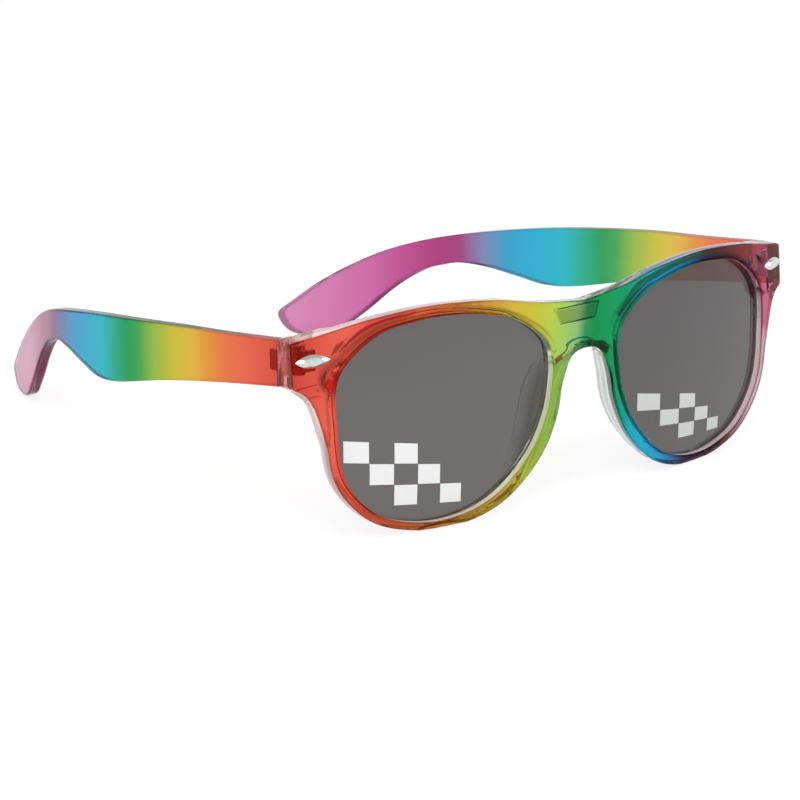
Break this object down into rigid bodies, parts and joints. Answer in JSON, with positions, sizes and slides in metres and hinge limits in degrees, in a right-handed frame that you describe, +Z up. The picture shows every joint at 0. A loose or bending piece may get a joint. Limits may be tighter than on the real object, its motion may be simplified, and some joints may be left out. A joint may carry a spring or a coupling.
{
  "type": "sunglasses",
  "caption": "Folding sunglasses with a clear plastic front in rainbow colours, dark lenses with a stepped check of white squares, and barrel hinges.",
  "frame": {"origin": "middle of the footprint, on the plane that the lower rims and the ear tips stand on", "axes": "+X to the wearer's left, +Y from the front towards the ears, +Z up"},
  "size_m": [0.146, 0.1628, 0.0482],
  "materials": {
    "frame_plastic": "clear, coloured through in rainbow bands from side to side, polished",
    "temple_plastic": "clear, coloured through in rainbow bands from hinge to ear end, polished",
    "lens_tint": "dark grey, see-through, polished",
    "white_print": "thin white film",
    "hinge_metal": "nickel plated",
    "screw_metal": "bright, slotted",
    "rivet_metal": "polished"
  },
  "bodies": {
    "front": {"front_frame": "frame_plastic", "left_lens": "lens_tint", "right_lens": "lens_tint", "left_lens_print": "white_print", "right_lens_print": "white_print", "left_front_hinge_leaf": "hinge_metal", "right_front_hinge_leaf": "hinge_metal", "left_hinge_screw": "screw_metal", "right_hinge_screw": "screw_metal", "left_rivet": "rivet_metal", "right_rivet": "rivet_metal"},
    "left_arm": {"left_temple": "temple_plastic", "left_temple_hinge_leaf": "hinge_metal"},
    "right_arm": {"right_temple": "temple_plastic", "right_temple_hinge_leaf": "hinge_metal"}
  },
  "joints": [
    {"name": "left_temple_fold", "type": "hinge", "parent": "front", "child": "left_arm", "pos_m": [0.06768, -0.06537, 0.039], "axis": [0, 0, 1], "range_deg": [0, 71]},
    {"name": "right_temple_fold", "type": "hinge", "parent": "front", "child": "right_arm", "pos_m": [-0.06768, -0.06537, 0.039], "axis": [0, 0, -1], "range_deg": [0, 80]}
  ]
}
